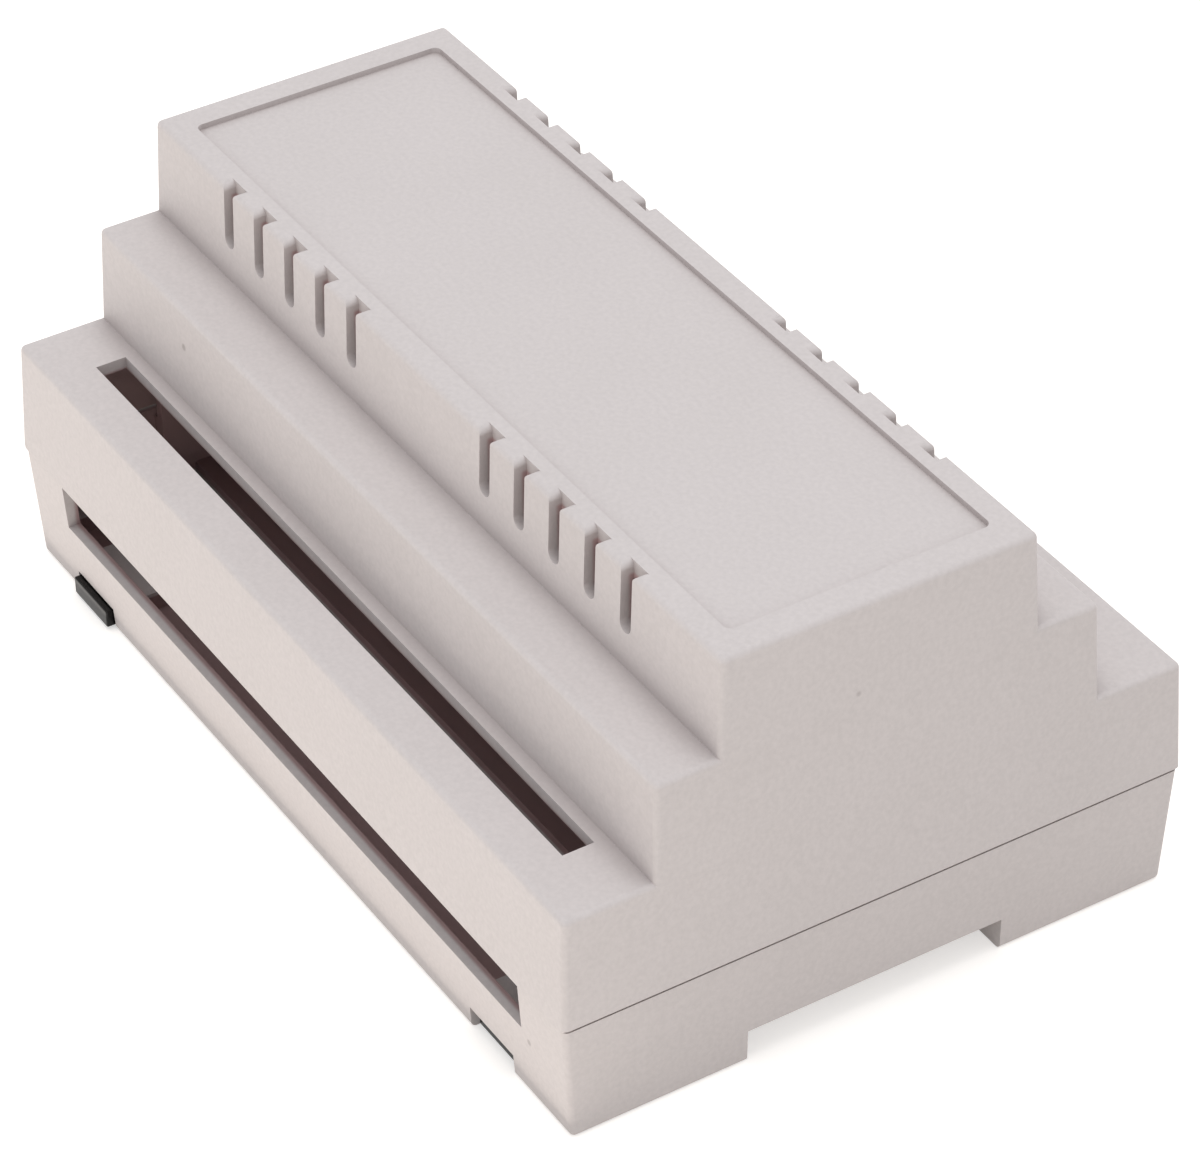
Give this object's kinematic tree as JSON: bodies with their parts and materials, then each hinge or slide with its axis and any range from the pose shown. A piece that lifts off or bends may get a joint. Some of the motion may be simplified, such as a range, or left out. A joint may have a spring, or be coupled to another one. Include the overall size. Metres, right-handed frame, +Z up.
{
  "type": "din rail enclosure",
  "caption": "Stepped plastic case for a circuit module, with vents, terminal openings on both long sides, a rail groove underneath and sliding rail latches.",
  "frame": {"origin": "middle of the foot, on the plane that the case stands on", "axes": "+X along the rail and the case's length, +Y across the rail away from the latches, +Z up towards the nose"},
  "size_m": [0.14, 0.09, 0.0628],
  "materials": {
    "case": "light warm grey moulded plastic, fine matte texture",
    "latch": "black moulded plastic, satin"
  },
  "bodies": {
    "case": {"base": "case", "top_cover": "case"},
    "left_latch": {"rail_latch_left": "latch"},
    "right_latch": {"rail_latch_right": "latch"}
  },
  "joints": [
    {"name": "left_latch_slide", "type": "slide", "parent": "case", "child": "left_latch", "axis": [0, 1, 0], "range_m": [0, 0.003]},
    {"name": "right_latch_slide", "type": "slide", "parent": "case", "child": "right_latch", "axis": [0, -1, 0], "range_m": [0, 0.003]}
  ]
}
